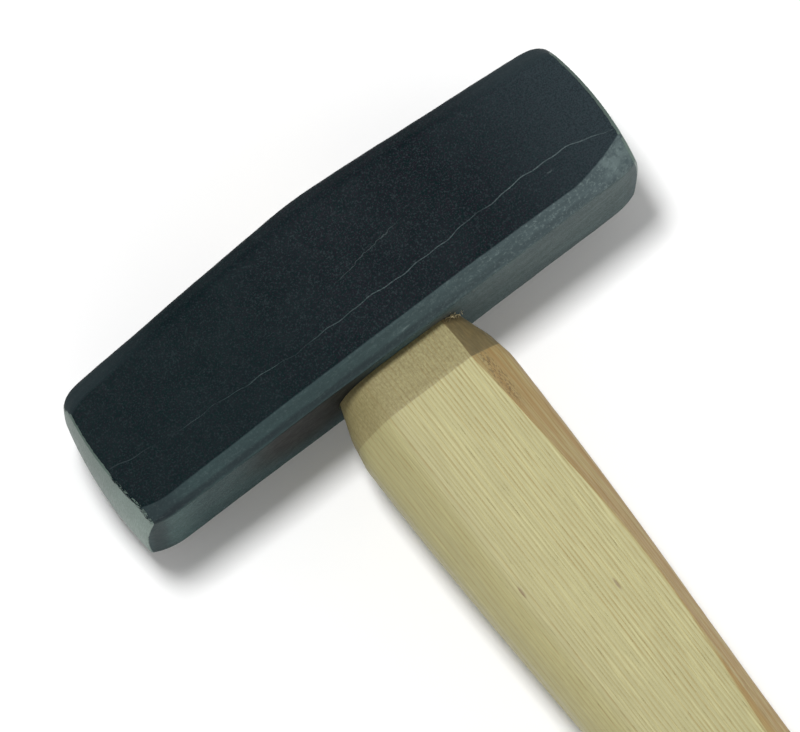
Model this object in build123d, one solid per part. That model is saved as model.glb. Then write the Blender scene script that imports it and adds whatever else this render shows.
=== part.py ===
"""Lump hammer: a forged, crown-faced head on an ash handle, held by one wooden and two steel wedges.

Frame: the hammer lies on the level middle of its lower cheek, which is the plane Z = 0.
X runs along the head from one striking face to the other, the handle points to -Y, and +Z is up.
The origin is under the middle of the eye, level with the middle of the striking faces.
All sizes are in millimetres.
"""
import math
import os

from build123d import *

# Head, forged steel, about 1 kg
HEAD_LENGTH = 120.0  # crown to crown
HEAD_THICKNESS = 40.0  # cheek to cheek at the eye
CHEEK_LEVEL = 26.0  # length of the level middle of each cheek
CHEEK_FALL = 2.3  # each cheek drops this far from its level middle to its end
UNDERSIDE = 15.6  # handle side of the head, below the middle of the faces
ROOF_PEAK = 19.0  # top of the head at its peak, above the middle of the faces
ROOF_END = 15.2  # top of the head at its two ends
ROOF_PEAK_X = 1.0  # the peak of the forging is a little off the eye
ROOF_ROUND = 110.0  # radius that softens the peak
CROWN_RADIUS = 58.0  # radius of the domed striking faces
CROWN_CENTRE = -1.0  # height of the crowns' middle
RIM_BEVEL = 0.6  # ground bevel round each striking face

# Long facets between the cheeks and the underside, and between the cheeks and the roof
UNDER_FACET_HALF = 15.4  # half width of the flat underside between its two facets
UNDER_FACET_LEG = 3.4  # how far up the cheek the lower facets reach
ROOF_FACET_LEG = 3.0  # legs of the upper facets

# Eye, an oval hole through the head: half width along X, half thickness along Z
EYE_MOUTH = (14.2, 10.0)  # on the handle side
EYE_WAIST = (13.6, 9.4)
EYE_TOP = (15.0, 10.9)  # on the wedge side, where the wood is spread
EYE_WAIST_Y = -2.0
TENON_PROUD = 0.4  # wood left standing above the roof

# Straight handle: distance below the middle of the head, half width, half thickness, half flat.
# The shoulder is widest, the waist is slim, and the grip swells towards the butt.
HANDLE_LENGTH = 260.0  # over all, tenon included
SHOULDER_Y = 25.0
SHOULDER = (17.4, 12.6, 10.2)
BODY = (
    (48.0, 17.3, 12.4, 11.6),
    (75.0, 16.4, 12.0, 12.4),
    (112.0, 15.0, 11.2, 10.8),
    (150.0, 14.6, 11.0, 9.6),
    (190.0, 15.5, 11.5, 9.2),
    (222.0, 17.0, 12.4, 9.6),
)
BUTT = (17.3, 12.6, 9.6)
BUTT_ROUND = 3.0

# Wedges
WOOD_WEDGE_DEPTH = 25.0
WOOD_WEDGE_TOP = 5.0  # thickness at its head
WOOD_WEDGE_TIP = 0.8
STEEL_WEDGE_DEPTH = 15.0
STEEL_WEDGE_TOP = 2.6
STEEL_WEDGE_TIP = 0.5
STEEL_WEDGE_WIDTH = 15.0
STEEL_WEDGE_PITCH = 15.0  # between the two

# Worked out from the sizes above
MIDDLE = HEAD_THICKNESS / 2  # height of the handle's axis
HALF_LENGTH = HEAD_LENGTH / 2
TENON_TOP = ROOF_PEAK + TENON_PROUD
BUTT_Y = HANDLE_LENGTH - TENON_TOP
MARGIN = 4.0  # how far cutting bodies reach past the surface that they cut


def cheek_half(x):
    """Half the head's thickness at a distance x along it."""
    past_level = max(0.0, abs(x) - CHEEK_LEVEL / 2)
    return MIDDLE - CHEEK_FALL * past_level / (HALF_LENGTH - CHEEK_LEVEL / 2)


def roof_height(x):
    """Height of the roof at x, before the peak is softened."""
    end = HALF_LENGTH if x > ROOF_PEAK_X else -HALF_LENGTH
    return ROOF_PEAK - (ROOF_PEAK - ROOF_END) * (x - ROOF_PEAK_X) / (end - ROOF_PEAK_X)


def head_block():
    """The head's outline from above and from the cheek side, crossed, with its two crowned ends."""
    level = CHEEK_LEVEL / 2
    end_half = cheek_half(HALF_LENGTH)
    plan = [(-HALF_LENGTH, end_half), (-level, MIDDLE), (level, MIDDLE), (HALF_LENGTH, end_half)]
    plan += [(x, -half) for x, half in reversed(plan)]
    plan_face = Plane.XZ.offset(UNDERSIDE) * Polygon(*plan, align=None)
    plan_body = extrude(plan_face, amount=UNDERSIDE + ROOF_PEAK + MARGIN, dir=(0, 1, 0))
    plan_body = Pos(0, 0, MIDDLE) * plan_body

    side = [(-HALF_LENGTH, -UNDERSIDE), (HALF_LENGTH, -UNDERSIDE), (HALF_LENGTH, ROOF_END)]
    side += [(ROOF_PEAK_X, ROOF_PEAK), (-HALF_LENGTH, ROOF_END)]
    side_face = Polygon(*side, align=None)
    peak = side_face.vertices().sort_by(Axis.Y)[-1]
    side_body = extrude(fillet(peak, ROOF_ROUND), amount=HEAD_THICKNESS, dir=(0, 0, 1))

    reach = math.hypot(MIDDLE, ROOF_PEAK) + MARGIN
    sagitta = CROWN_RADIUS - math.sqrt(CROWN_RADIUS**2 - reach**2)
    right = RadiusArc((HALF_LENGTH, 0), (HALF_LENGTH - sagitta, reach), -CROWN_RADIUS)
    left = RadiusArc((-HALF_LENGTH + sagitta, reach), (-HALF_LENGTH, 0), -CROWN_RADIUS)
    outline = [right, Line(right @ 1, left @ 0), left, Line(left @ 1, right @ 0)]
    crowns = Pos(0, CROWN_CENTRE, MIDDLE) * revolve(make_face(outline), Axis.X)
    return plan_body & side_body & crowns


def facet_cutter(corners):
    """A body that slices off one long edge: corners gives, for each x, the facet's two edges as (y, z)."""
    sections = []
    for x, first, second in corners:
        run = Vector(*second) - Vector(*first)
        start = Vector(*first) - run
        finish = Vector(*second) + run
        outside = Vector(first[0], second[1]) * 2 - (Vector(*first) + Vector(*second)) * 0.5
        points = [(x, p.X, p.Y) for p in (start, finish, outside)]
        sections.append(Face(Wire.make_polygon(points, close=True)))
    return loft(sections, ruled=True)


def head_facets():
    """The four cutters for the head's long edges."""
    over = HALF_LENGTH + MARGIN
    stations = sorted((-over, -CHEEK_LEVEL / 2, ROOF_PEAK_X, CHEEK_LEVEL / 2, over))
    cutters = []
    for side in (-1, 1):
        under, roof = [], []
        for x in stations:
            cheek = MIDDLE + side * cheek_half(x)
            facet_z = MIDDLE + side * UNDER_FACET_HALF
            under.append((x, (-UNDERSIDE, facet_z), (-UNDERSIDE + UNDER_FACET_LEG, cheek)))
            top = roof_height(x)
            roof.append((x, (top, cheek - side * ROOF_FACET_LEG), (top - ROOF_FACET_LEG, cheek)))
        cutters += [facet_cutter(under), facet_cutter(roof)]
    return cutters


def handle_section(distance, half_width, half_thick, half_flat):
    """Two flats joined by two bulging sides, across the handle at a distance below the head's middle."""
    plane = Plane(origin=(0, -distance, MIDDLE), x_dir=(1, 0, 0), z_dir=(0, -1, 0))
    front = Line((-half_flat, half_thick), (half_flat, half_thick))
    right = ThreePointArc((half_flat, half_thick), (half_width, 0), (half_flat, -half_thick))
    back = Line((half_flat, -half_thick), (-half_flat, -half_thick))
    left = ThreePointArc((-half_flat, -half_thick), (-half_width, 0), (-half_flat, half_thick))
    return plane * make_face([front, right, back, left])


def eye_section(height, size):
    """The oval of the eye: flats joined by half circles."""
    half_width, half_thick = size
    return handle_section(-height, half_width, half_thick, half_width - half_thick)


def eye_plug():
    """The space inside the eye, narrowest at its waist, up to where the tenon is sawn off."""
    mouth = eye_section(-UNDERSIDE, EYE_MOUTH)
    waist = eye_section(EYE_WAIST_Y, EYE_WAIST)
    top = eye_section(TENON_TOP, EYE_TOP)
    return loft([mouth, waist], ruled=True) + loft([waist, top], ruled=True)


def handle_body():
    """The neck that comes out of the eye, and the shaped handle down to its rounded butt."""
    shoulder = handle_section(SHOULDER_Y, *SHOULDER)
    butt = handle_section(BUTT_Y, *BUTT)
    neck = loft([eye_section(-UNDERSIDE, EYE_MOUTH), shoulder], ruled=True)
    body = loft([shoulder] + [handle_section(*station) for station in BODY] + [butt])
    end = body.faces().sort_by(Axis.Y)[0]
    return neck + fillet(end.edges(), BUTT_ROUND)


def wood_wedge_body():
    """A taper across the whole eye, in the plane of the head."""
    tip = TENON_TOP - WOOD_WEDGE_DEPTH
    profile = [(TENON_TOP, WOOD_WEDGE_TOP / 2), (tip, WOOD_WEDGE_TIP / 2)]
    profile += [(y, -z) for y, z in reversed(profile)]
    face = Plane.YZ * Polygon(*profile, align=None)
    return Pos(0, 0, MIDDLE) * extrude(face, amount=EYE_TOP[0] + MARGIN, both=True)


def steel_wedge_body(x):
    """A taper driven across the wooden wedge at x."""
    tip = TENON_TOP - STEEL_WEDGE_DEPTH
    profile = [(x + STEEL_WEDGE_TOP / 2, TENON_TOP), (x + STEEL_WEDGE_TIP / 2, tip)]
    profile += [(x - STEEL_WEDGE_TIP / 2, tip), (x - STEEL_WEDGE_TOP / 2, TENON_TOP)]
    body = extrude(Polygon(*profile, align=None), amount=STEEL_WEDGE_WIDTH / 2, both=True)
    return Pos(0, 0, MIDDLE) * body


def build():
    """Every piece of the hammer, by name."""
    plug = eye_plug()
    steel = [steel_wedge_body(x) for x in (-STEEL_WEDGE_PITCH / 2, STEEL_WEDGE_PITCH / 2)]
    wood = wood_wedge_body() & plug

    head = head_block()
    for cutter in head_facets():
        head -= cutter
    rims = head.faces().filter_by(GeomType.SPHERE).edges()
    head = chamfer(rims, RIM_BEVEL) - plug

    handle = plug + handle_body() - wood
    for wedge in steel:
        handle -= wedge
        wood -= wedge
    pieces = {"hammer_head": head, "handle": handle, "wood_wedge": wood}
    for number, wedge in enumerate(steel, start=1):
        pieces[f"steel_wedge_{number}"] = wedge
    return pieces


os.makedirs("parts", exist_ok=True)
for name, piece in build().items():
    piece.label = name
    export_step(piece, f"parts/{name}.step")
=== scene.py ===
"""Looks for the lump hammer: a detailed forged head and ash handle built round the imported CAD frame.

Shapes are worked out in millimetres, in the frame's own axes, and become metres when a mesh is made.
The frame: X along the head, the handle towards -Y, +Z up, and the hammer lying on its lower cheek.
"""
import math

import bmesh
import bpy
import numpy as np
from mathutils import Matrix, Vector, noise


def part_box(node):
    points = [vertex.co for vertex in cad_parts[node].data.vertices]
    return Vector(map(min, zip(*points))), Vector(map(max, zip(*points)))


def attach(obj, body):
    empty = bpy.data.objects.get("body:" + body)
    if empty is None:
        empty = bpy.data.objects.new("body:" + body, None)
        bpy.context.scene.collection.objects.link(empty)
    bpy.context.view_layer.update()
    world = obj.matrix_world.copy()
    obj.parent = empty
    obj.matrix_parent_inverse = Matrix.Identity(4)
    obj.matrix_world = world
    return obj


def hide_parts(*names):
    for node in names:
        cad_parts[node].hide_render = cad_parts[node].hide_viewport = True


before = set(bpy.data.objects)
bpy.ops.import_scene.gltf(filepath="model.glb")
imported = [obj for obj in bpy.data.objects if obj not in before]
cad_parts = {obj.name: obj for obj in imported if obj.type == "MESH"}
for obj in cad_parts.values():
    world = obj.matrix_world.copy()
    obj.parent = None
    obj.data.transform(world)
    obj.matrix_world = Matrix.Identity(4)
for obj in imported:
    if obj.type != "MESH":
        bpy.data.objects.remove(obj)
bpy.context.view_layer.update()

MM = 0.001
METRE = 1000.0


def box_mm(node):
    """A CAD node's lowest and highest corners in millimetres."""
    low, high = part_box(node)
    return np.array(low) * METRE, np.array(high) * METRE


HEAD_LOW, HEAD_HIGH = box_mm("hammer_head")
HANDLE_LOW, HANDLE_HIGH = box_mm("handle")
MIDDLE = (HEAD_LOW[2] + HEAD_HIGH[2]) / 2
HALF_LENGTH = (HEAD_HIGH[0] - HEAD_LOW[0]) / 2
UNDERSIDE = -HEAD_LOW[1]
TENON_TOP = HANDLE_HIGH[1]
BUTT = -HANDLE_LOW[1]

# ---- head sizes
CHEEK_LEVEL = 13.0  # half length of the level middle of a cheek
CHEEK_FALL = 2.3
CHEEK_EASE = 6.0  # half length over which the level middle eases into the fall
ROOF_PEAK = 19.05
ROOF_PEAK_X = 1.0
ROOF_END_LEFT = 15.5
ROOF_END_RIGHT = 14.9
ROOF_SOFTENING = 6.0  # half length over which the peak is rounded off
FACET_HALF = 15.4  # half width of the flat underside
FACET_LEG = 3.4
FACET_FLARE = 2.4  # the lower facets grow by this much at the right end
FLARE_FROM, FLARE_TO = 44.0, 57.0
ROOF_FACET = 3.0
END_ROLL = 0.9  # how far the roof and the underside roll in at the very ends
END_ROLL_LENGTH = 5.0
RIM_SETBACK = 3.0  # about how far a face's rim lies behind its crown
CROWN_RADIUS = {-1: 64.0, 1: 59.0}  # across the head, for the left and the right face
CROWN_CENTRE = {-1: -3.5, 1: -1.0}
CROWN_FLATNESS = 115.0  # radius from cheek to cheek
LEFT_TWIST = 0.0030  # the left face is a little out of square: it turns this much for each mm up it
LEFT_LEAN = 0.011
EDGE_RADII = {"under": 1.5, "cheek": 1.3, "roof": 2.9}
BEVEL_SIDE = {-1: 0.32, 1: 0.55}  # the ground bevel's reach along the side of the head, at each face
BEVEL_FACE = 0.30  # and in from the rim, across the crown
BEVEL_SOFT = 0.12
ROOF_CORNER = 2.5  # reach of the rounding between the roof and each face, which the paint wraps over
WRAP_FROM, WRAP_TO = 8.0, 14.0  # heights between which the ground bevel turns into that rounding
WRAP_DEPTH = 1.3  # how far the paint goes over it
BARE_SPREAD = 6.0  # the "bare" value goes from 0 to 1 over this depth, and is 0.5 at the bevel's side edge
FLASH_PATH = ((-61.0, -1.5), (-36.0, -4.2), (-8.0, -5.6), (28.0, -5.2), (46.0, -4.6), (61.0, -8.6))
FLASH_HEIGHT = 0.10
FLASH_WIDTH = 0.095
ON_CHEEK = 0.15  # it only shows within this depth of the cheek's level
FLASH_REACH = 1.1  # points are close together this far to each side of the parting line
HEAD_SKIN = ((0.11, 13.0, 1), (0.045, 4.2, 2), (0.016, 1.3, 3))  # unevenness: depth, size, seed
EYE_LIP = 0.4  # flare where the eye breaks the underside and the roof

# how many points or rows there are
CHEEK_POINTS = (15, 25, 46)  # below, across and above the parting line
FACET_POINTS = 7
FLAT_POINTS = 26
CORNER_POINTS = 7
BODY_ROWS = 300
CROWN_ROWS = 40
EYE_POINTS = 160

# ---- handle sizes
NECK_LENGTH = 9.4  # from the underside of the head to the shoulder
SHOULDER_EASE = 0.5  # how much the sides of the shoulder are rounded off, over this spread along the handle
SHOULDER_SPREAD = 1.8
EYE_GAP = 0.12
WEDGE_CLEARANCE = 0.05
TENON_BELOW = 0.2  # how far the sawn tenon stops below the tops of its wedges
FIBRE_SPOT = (10.6, -16.4, 8.6)  # torn wood at the neck's front right corner
FIBRES = 16
FIBRE_RINGS = 9
HANDLE_SKIN = ((0.09, 9.0, 5), (0.03, 2.6, 6))
SIDE_SHARE = 0.42  # the flat of each side, as a share of the half thickness
GRIP_FROM, GRIP_TO = 85.0, 140.0  # distances between which the shoulder's roundings become the grip's
FRONT_RIGHT_RADIUS = (0.5, 4.5)  # at the shoulder and at the grip
FRONT_LEFT_RADIUS = (7.0, 9.0)
BACK_RADIUS = (4.0, 6.0)
SIDE_RADIUS = 6.5
# the flat of the front and back, as a share of the half width, at distances below the head's middle
FLAT_SHARE_AT = (0.0, 15.6, 25.0, 37.0, 49.0, 60.0, 78.0, 112.0, 150.0, 190.0, 242.0)
FLAT_SHARE = (0.70, 0.70, 0.60, 0.645, 0.70, 0.76, 0.82, 0.77, 0.70, 0.62, 0.58)
CORNER_LIMIT = 1.15  # a rounding's radius, at most, in lengths of the shorter side beside it
BUTT_RADIUS = 3.0
BUTT_DOME = 0.05


# ---- small tools
def smooth_step(low, high, value):
    t = np.clip((value - low) / (high - low), 0.0, 1.0)
    return t * t * (3.0 - 2.0 * t)


def blend(a, b, share):
    """a where share is 0, going to b where it is 1."""
    return a * (1 - share) + b * share


def hermite(stations, values, at):
    """A smooth curve through the stations, with Catmull-Rom slopes."""
    stations = np.asarray(stations, float)
    values = np.asarray(values, float)
    slopes = np.gradient(values, stations)
    at = np.clip(at, stations[0], stations[-1])
    i = np.clip(np.searchsorted(stations, at) - 1, 0, len(stations) - 2)
    width = stations[i + 1] - stations[i]
    t = (at - stations[i]) / width
    rise = (values[i + 1] - values[i]) * (3 * t**2 - 2 * t**3)
    start = slopes[i] * width * (t - 2 * t**2 + t**3)
    finish = slopes[i + 1] * width * (t**3 - t**2)
    return values[i] + rise + start + finish


def unevenness(points, layers):
    """Smooth noise at each point, summed over layers of (depth, feature size, seed) in millimetres."""
    total = 0.0
    for depth, size, seed in layers:
        shift = Vector((seed * 17.3, seed * 5.1, seed * 9.7))
        values = [noise.noise(Vector(p) / size + shift) for p in points.reshape(-1, 3)]
        total = total + depth * np.array(values).reshape(points.shape[:-1])
    return total


def shares(count):
    """Evenly spaced fractions from 0 up to, but not reaching, 1."""
    return np.linspace(0, 1, count)[:-1]


def rounded_polygon(corners, radii, edge_fractions, arc_steps):
    """Points round convex polygons with rounded corners, one polygon for each leading index.

    corners is (..., n, 2), anticlockwise. radii is (..., n). edge_fractions gives, for each edge,
    fractions from one rounding to the next, as an array of (steps) or (..., steps).
    """
    before = np.roll(corners, 1, axis=-2)
    after = np.roll(corners, -1, axis=-2)
    inward = corners - before
    inward = inward / np.linalg.norm(inward, axis=-1, keepdims=True)
    outward = after - corners
    outward = outward / np.linalg.norm(outward, axis=-1, keepdims=True)
    cross = inward[..., 0] * outward[..., 1] - inward[..., 1] * outward[..., 0]
    turn = np.arctan2(cross, (inward * outward).sum(-1))
    reach = radii * np.tan(turn / 2)
    start = corners - inward * reach[..., None]
    finish = corners + outward * reach[..., None]
    left = np.stack([-inward[..., 1], inward[..., 0]], axis=-1)
    centre = start + left * radii[..., None]
    spoke = start - centre
    pieces = []
    count = corners.shape[-2]
    for k in range(count):
        for step in range(arc_steps):
            angle = turn[..., k] * step / arc_steps
            c, s = np.cos(angle), np.sin(angle)
            x = spoke[..., k, 0] * c - spoke[..., k, 1] * s
            y = spoke[..., k, 0] * s + spoke[..., k, 1] * c
            pieces.append(centre[..., k, :] + np.stack([x, y], axis=-1))
        fractions = np.asarray(edge_fractions[k])
        a = finish[..., k, :]
        b = start[..., (k + 1) % count, :]
        for step in range(fractions.shape[-1]):
            share = fractions[..., step]
            share = np.broadcast_to(share, a.shape[:-1])[..., None]
            pieces.append(a + (b - a) * share)
    return np.stack(pieces, axis=-2)


def grid_mesh(name, points, values):
    """A capped tube from a grid of points (rows, round, 3) in millimetres, with named values at each."""
    rows, around = points.shape[:2]
    mesh = bpy.data.meshes.new(name)
    index = np.arange(rows * around).reshape(rows, around)
    nxt = np.roll(index, -1, axis=1)
    quads = np.stack([index[:-1], nxt[:-1], nxt[1:], index[1:]], axis=-1).reshape(-1, 4)
    faces = quads.tolist()
    faces.append(index[0, ::-1].tolist())
    faces.append(index[-1].tolist())
    mesh.from_pydata((points.reshape(-1, 3) * MM).tolist(), [], faces)
    for key, value in values.items():
        attribute = mesh.attributes.new(key, "FLOAT", "POINT")
        attribute.data.foreach_set("value", np.ascontiguousarray(value, np.float32).ravel())
    return finish_mesh(name, mesh)


def add(name, data):
    """A new object in the scene."""
    made = bpy.data.objects.new(name, data)
    bpy.context.scene.collection.objects.link(made)
    return made


def finish_mesh(name, mesh):
    """Makes an object of a mesh, with its faces turned outwards and shaded smooth."""
    work = bmesh.new()
    work.from_mesh(mesh)
    bmesh.ops.recalc_face_normals(work, faces=work.faces)
    if work.calc_volume(signed=True) < 0:
        bmesh.ops.reverse_faces(work, faces=work.faces)
    work.to_mesh(mesh)
    work.free()
    mesh.polygons.foreach_set("use_smooth", [True] * len(mesh.polygons))
    mesh.update()
    return add(name, mesh)


def cut(piece, cutter):
    """Takes the cutter out of the piece for good, and deletes the cutter."""
    modifier = piece.modifiers.new("cut", "BOOLEAN")
    modifier.operation = "DIFFERENCE"
    modifier.solver = "EXACT"
    modifier.object = cutter
    bpy.context.view_layer.update()
    depsgraph = bpy.context.evaluated_depsgraph_get()
    made = bpy.data.meshes.new_from_object(piece.evaluated_get(depsgraph))
    piece.modifiers.clear()
    old = piece.data
    piece.data = made
    bpy.data.meshes.remove(old)
    bpy.data.objects.remove(cutter)
    return piece


def sharpen(piece, degrees):
    """Keeps edges that turn more than this crisp in the smooth shading."""
    piece.data.set_sharp_from_angle(angle=math.radians(degrees))


def soften(piece, width):
    """Rounds the edges of a CAD piece by a width in millimetres, leaving its own mesh as it is."""
    weld = piece.modifiers.new("weld", "WELD")
    weld.merge_threshold = 0.001 * MM
    bevel = piece.modifiers.new("bevel", "BEVEL")
    bevel.width = width * MM
    bevel.segments = 3
    bevel.limit_method = "ANGLE"
    bevel.angle_limit = math.radians(30)


# ---- head
def cheek_half(x):
    """Half the head's thickness: level in the middle, easing into a straight fall to each end."""
    out = np.maximum(0.0, np.abs(x) - CHEEK_LEVEL)
    out = np.where(out < 2 * CHEEK_EASE, out**2 / (4 * CHEEK_EASE), out - CHEEK_EASE)
    return MIDDLE - CHEEK_FALL * out / (HALF_LENGTH - CHEEK_LEVEL - CHEEK_EASE)


def end_roll(x):
    """The roof and underside turn in slightly over the last few millimetres."""
    from_start = np.maximum(0.0, np.abs(x) - (HALF_LENGTH - RIM_SETBACK - END_ROLL_LENGTH))
    return END_ROLL * (from_start / END_ROLL_LENGTH) ** 2


def roof_height(x):
    """Two slopes that meet over the eye, with the meeting rounded off."""
    side = x - ROOF_PEAK_X
    span = np.where(side > 0, HALF_LENGTH - ROOF_PEAK_X, HALF_LENGTH + ROOF_PEAK_X)
    end = np.where(side > 0, ROOF_END_RIGHT, ROOF_END_LEFT)
    away = np.abs(side)
    soft = ROOF_SOFTENING
    away = np.where(away < soft, (away**2 + soft**2) / (2 * soft), away)
    return ROOF_PEAK - (ROOF_PEAK - end) * away / span


def flash_centre(x, side):
    """Height of the forging's parting line on a cheek. It wanders as the trimming left it."""
    path = np.array(FLASH_PATH)
    slow = hermite(path[:, 0], path[:, 1], x)
    if side < 0:
        slow = -4.6 - 0.3 * (slow + 4.6)
    fine = 0.16 * np.sin(x / 1.9 + side) + 0.1 * np.sin(x / 0.83) + 0.2 * np.sin(x / 4.7 + 2.0 * side)
    return slow + fine


def cheek_fractions(x, low, high, side, upwards):
    """Where to put points up a cheek, so that many lie across the parting line."""
    centre = flash_centre(x, side)
    start = np.maximum(centre - FLASH_REACH, low + 0.2)[:, None]
    finish = (centre + FLASH_REACH)[:, None]
    below = shares(CHEEK_POINTS[0])
    across = np.linspace(0.0, 1.0, CHEEK_POINTS[1])
    above = np.linspace(0.0, 1.0, CHEEK_POINTS[2])[1:]
    lower = low[:, None] + (start - low[:, None]) * below
    middle = start + (finish - start) * across
    upper = finish + (high[:, None] - finish) * above
    heights = np.concatenate([lower, middle, upper], axis=1)
    share = (heights - low[:, None]) / (high - low)[:, None]
    share = share if upwards else 1.0 - share[:, ::-1]
    return share[:, :-1]


def head_sections(x):
    """The head's outline across X, as (y, height above the middle), for each x."""
    half = cheek_half(x)
    roll = end_roll(x)
    under = -UNDERSIDE + roll
    roof = roof_height(x) - roll
    flat = FACET_HALF - 0.6 * roll
    leg = FACET_LEG + FACET_FLARE * smooth_step(FLARE_FROM, FLARE_TO, x)
    low_edge = under + leg
    high_edge = roof - ROOF_FACET
    top_flat = half - ROOF_FACET
    pairs = [
        (under, -flat), (under, flat), (low_edge, half), (high_edge, half),
        (roof, top_flat), (roof, -top_flat), (high_edge, -half), (low_edge, -half),
    ]
    # anticlockwise in (z, y) so that the roundings bulge outwards
    corners = np.stack([np.stack([z, y], axis=-1) for y, z in pairs], axis=-2)
    kinds = ["under", "under", "cheek", "roof", "roof", "roof", "roof", "cheek"]
    radii = np.broadcast_to([EDGE_RADII[k] for k in kinds], corners.shape[:-1])
    coarse = shares(FLAT_POINTS)
    narrow = shares(FACET_POINTS)
    edges = [
        coarse, narrow, cheek_fractions(x, low_edge, high_edge, 1, True), narrow,
        coarse, narrow, cheek_fractions(x, low_edge, high_edge, -1, False), narrow,
    ]
    outline = rounded_polygon(corners, radii, edges, CORNER_POINTS)
    return outline[..., ::-1]


def crown_depth(sign, y, height):
    """How far a domed face has fallen back from its crown."""
    across = y - CROWN_CENTRE[sign]
    depth = CROWN_RADIUS[sign] - np.sqrt(CROWN_RADIUS[sign] ** 2 - across**2)
    depth = depth + CROWN_FLATNESS - np.sqrt(CROWN_FLATNESS**2 - height**2)
    if sign < 0:
        depth = depth - (LEFT_TWIST * y + LEFT_LEAN) * height
    return np.maximum(depth, 0.0)


def along_sections(stations, sections, x):
    """The outline at x, where x has a value for each point round the head: shape (rows, round)."""
    step = stations[1] - stations[0]
    place = np.clip((x - stations[0]) / step, 0, len(stations) - 1.001)
    i = place.astype(int)
    t = (place - i)[..., None]
    j = np.arange(sections.shape[1])[None, :]
    return blend(sections[i, j], sections[i + 1, j], t)


def bezier(a, b, c, t):
    """A quadratic curve from a to c, pulled towards b."""
    return a * (1 - t) ** 2 + b * 2 * t * (1 - t) + c * t**2


def head_end(sign, stations, sections):
    """Rows from where the bevel starts on the side to the middle of one crown.

    Returns the rows, each point's depth past the bevel's side edge, and the x where the rows start.
    """
    rim_x = np.full(sections.shape[1], HALF_LENGTH - RIM_SETBACK)
    for _ in range(6):
        rim = along_sections(stations, sections, sign * rim_x[None, :])[0]
        rim_x = HALF_LENGTH - crown_depth(sign, rim[:, 0], rim[:, 1])
    corner = smooth_step(WRAP_FROM, WRAP_TO, rim[:, 0])

    def side(distance):
        x = sign * (rim_x - distance)
        outline = along_sections(stations, sections, x[None, :])[0]
        return np.stack([x, outline[:, 0], outline[:, 1]], axis=-1)

    centre = np.array([CROWN_CENTRE[sign], 0.0])
    radius = np.linalg.norm(rim - centre, axis=1)

    def face(distance):
        scale = np.maximum(1.0 - distance / radius, 0.004)[:, None]
        flat = centre + (rim - centre) * scale
        x = sign * (HALF_LENGTH - crown_depth(sign, flat[:, 0], flat[:, 1]))
        return np.stack([x, flat[:, 0], flat[:, 1]], axis=-1)

    bevel_side = BEVEL_SIDE[sign]

    def bevel_point(share):
        return blend(side(bevel_side), face(BEVEL_FACE), share)

    side_reach = blend(bevel_side + BEVEL_SOFT, ROOF_CORNER, corner)
    face_reach = blend(BEVEL_FACE + BEVEL_SOFT, 0.8 * ROOF_CORNER, corner)
    # each row as its place round the roof's corner, its points on the ground bevel, and its depth
    profile = []
    for t in np.linspace(0, 1, 5):
        bend = bezier(side(bevel_side + BEVEL_SOFT), side(bevel_side), bevel_point(0.2), t)
        profile.append((0.3 * t, bend, -0.3 + 0.6 * t))
    for share in (0.4, 0.6):
        profile.append((share, bevel_point(share), 0.3 + share))
    for t in np.linspace(0, 1, 5):
        bend = bezier(bevel_point(0.8), face(BEVEL_FACE), face(BEVEL_FACE + BEVEL_SOFT), t)
        profile.append((0.7 + 0.3 * t, bend, 1.1 + 0.5 * t))
    rows, depth = [], []
    weight = corner[:, None]
    for turn, ground, level in profile:
        rounded = bezier(side(side_reach), side(0.0), face(face_reach), turn)
        rows.append(blend(ground, rounded, weight))
        depth.append(level - WRAP_DEPTH * corner)
    for share in np.linspace(0.03, 1.0, CROWN_ROWS):
        rows.append(face(blend(face_reach, radius, share)))
        depth.append(1.6 - WRAP_DEPTH * corner + 2 * BARE_SPREAD * share)
    return np.array(rows), np.array(depth), rim_x - side_reach


def head_normals(points):
    """Outward directions for a grid of points, from its rows and columns."""
    along = np.gradient(points, axis=0)
    around = np.roll(points, -1, axis=1) - np.roll(points, 1, axis=1)
    normal = np.cross(along, around)
    normal /= np.maximum(np.linalg.norm(normal, axis=-1, keepdims=True), 1e-9)
    outwards = (normal[..., 1:] * points[..., 1:]).sum(-1)
    return normal * np.where(np.median(outwards) < 0, -1.0, 1.0)


def flash_ridge(x, y, height):
    """How much of the parting line is at each point of the head: it varies, and fades to the left."""
    on_cheek = np.abs(height) > cheek_half(x) - ON_CHEEK
    centre = np.where(height > 0, flash_centre(x, 1), flash_centre(x, -1))
    ridge = np.exp(-(((y - centre) / FLASH_WIDTH) ** 2)) * on_cheek
    wander = 0.75 + 0.25 * np.sin(x / 3.3) * np.sin(x / 7.9 + 1.0)
    fade = 0.65 + 0.35 * smooth_step(-45.0, 5.0, x)
    return ridge * wander * fade


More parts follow.
